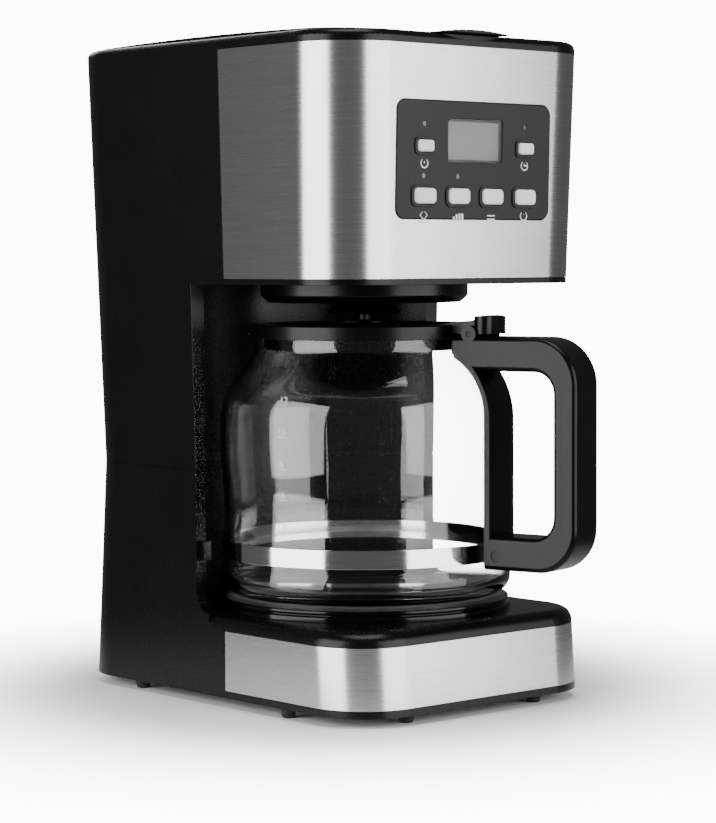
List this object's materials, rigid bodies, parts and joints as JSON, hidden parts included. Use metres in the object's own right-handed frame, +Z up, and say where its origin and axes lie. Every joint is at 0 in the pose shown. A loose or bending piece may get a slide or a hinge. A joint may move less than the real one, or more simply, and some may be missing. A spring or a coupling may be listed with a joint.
{
  "type": "drip coffee maker",
  "caption": "Programmable drip coffee maker with a hinged lid, filter basket, warming plate and a glass carafe with a lever lid.",
  "frame": {"origin": "on the counter, under the middle of the base at the height of the seam", "axes": "+Z up, -Y towards the user at the front, +X to the right seen from the front"},
  "size_m": [0.1788, 0.2769, 0.3402],
  "materials": {
    "housing_black": "satin",
    "column_black": "gloss",
    "steel": "horizontal brush",
    "band_steel": "polished",
    "glass": "clear",
    "handle_black": "satin",
    "lid_black": "satin",
    "panel_black": "satin",
    "key_white": "satin",
    "display": "clear",
    "lamp": "clear lens",
    "rubber": "matt",
    "inner_plastic": "matt",
    "tank_plastic": "translucent",
    "mesh": "fine mesh",
    "spring_steel": "bright",
    "heater": "cast",
    "plate": "non-stick coating",
    "silicone": "matt",
    "board": "solder mask",
    "part": "matt",
    "screw": "zinc plated"
  },
  "bodies": {
    "housing": {"lower_housing": "housing_black", "upper_housing": "housing_black", "top_frame": "lid_black", "base_cover": "inner_plastic", "feet": "rubber", "upper_steel_band": "steel", "base_steel_band": "steel", "lid_hinge_pin": "screw", "outlet_seal": "silicone", "control_panel": "panel_black", "display_window": "display", "lcd_module": "display", "control_board": "board", "tact_switches": "part", "indicator_lights": "lamp", "basket_holder": "lid_black", "water_tank": "tank_plastic", "check_valve": "inner_plastic", "inlet_hose": "silicone", "riser_hose": "silicone", "heating_element": "heater", "warming_plate": "plate", "plate_ring": "column_black", "thermostat": "part", "thermal_fuses": "part", "heater_clamp": "spring_steel", "power_board": "board", "transformer": "part", "relay": "part", "cord_gland": "rubber", "base_screws": "screw", "housing_screws": "screw", "clamp_screws": "screw", "board_screws": "screw"},
    "lid": {"lid": "lid_black", "shower_head": "inner_plastic"},
    "basket": {"filter_basket": "inner_plastic", "mesh_filter": "mesh", "drip_stop_spring": "spring_steel"},
    "drip_stop": {"drip_stop_valve": "inner_plastic"},
    "carafe": {"carafe_glass": "glass", "carafe_band": "band_steel", "band_screw": "screw", "handle_frame": "handle_black", "handle_cover": "handle_black", "handle_screws": "screw", "carafe_lid_pin": "screw"},
    "carafe_lid": {"carafe_lid": "lid_black"},
    "hour_button": {"hour_button": "key_white"},
    "minute_button": {"minute_button": "key_white"},
    "clean_button": {"clean_button": "key_white"},
    "strong_button": {"strong_button": "key_white"},
    "program_button": {"program_button": "key_white"},
    "power_button": {"power_button": "key_white"}
  },
  "joints": [
    {"name": "lid_hinge", "type": "hinge", "parent": "housing", "child": "lid", "pos_m": [0, 0.096, 0.3355], "axis": [-1, 0, 0], "range_deg": [0, 95]},
    {"name": "basket_lift", "type": "slide", "parent": "housing", "child": "basket", "axis": [0, 0, 1], "range_m": [0, 0.003]},
    {"name": "drip_stop_lift", "type": "slide", "parent": "basket", "child": "drip_stop", "axis": [0, 0, 1], "range_m": [0, 0.002], "stiffness_N_per_m": 300, "springref_m": -0.003, "deforming": ["drip_stop_spring"]},
    {"name": "carafe_slide", "type": "slide", "parent": "housing", "child": "carafe", "axis": [0, -1, 0], "range_m": [0, 0.2]},
    {"name": "carafe_lid_hinge", "type": "hinge", "parent": "carafe", "child": "carafe_lid", "pos_m": [0.01778, -0.09574, 0.1895], "axis": [0.9681, 0.2504, 0], "range_deg": [0, 2.5]},
    {"name": "hour_button_press", "type": "slide", "parent": "housing", "child": "hour_button", "axis": [0, 0.9997, 0.026], "range_m": [0, 0.001], "stiffness_N_per_m": 400, "springref_m": -0.0002},
    {"name": "minute_button_press", "type": "slide", "parent": "housing", "child": "minute_button", "axis": [0, 0.9997, 0.026], "range_m": [0, 0.001], "stiffness_N_per_m": 400, "springref_m": -0.0002},
    {"name": "clean_button_press", "type": "slide", "parent": "housing", "child": "clean_button", "axis": [0, 0.9997, 0.026], "range_m": [0, 0.001], "stiffness_N_per_m": 400, "springref_m": -0.0002},
    {"name": "strong_button_press", "type": "slide", "parent": "housing", "child": "strong_button", "axis": [0, 0.9997, 0.026], "range_m": [0, 0.001], "stiffness_N_per_m": 400, "springref_m": -0.0002},
    {"name": "program_button_press", "type": "slide", "parent": "housing", "child": "program_button", "axis": [0, 0.9997, 0.026], "range_m": [0, 0.001], "stiffness_N_per_m": 400, "springref_m": -0.0002},
    {"name": "power_button_press", "type": "slide", "parent": "housing", "child": "power_button", "axis": [0, 0.9997, 0.026], "range_m": [0, 0.001], "stiffness_N_per_m": 400, "springref_m": -0.0002}
  ]
}
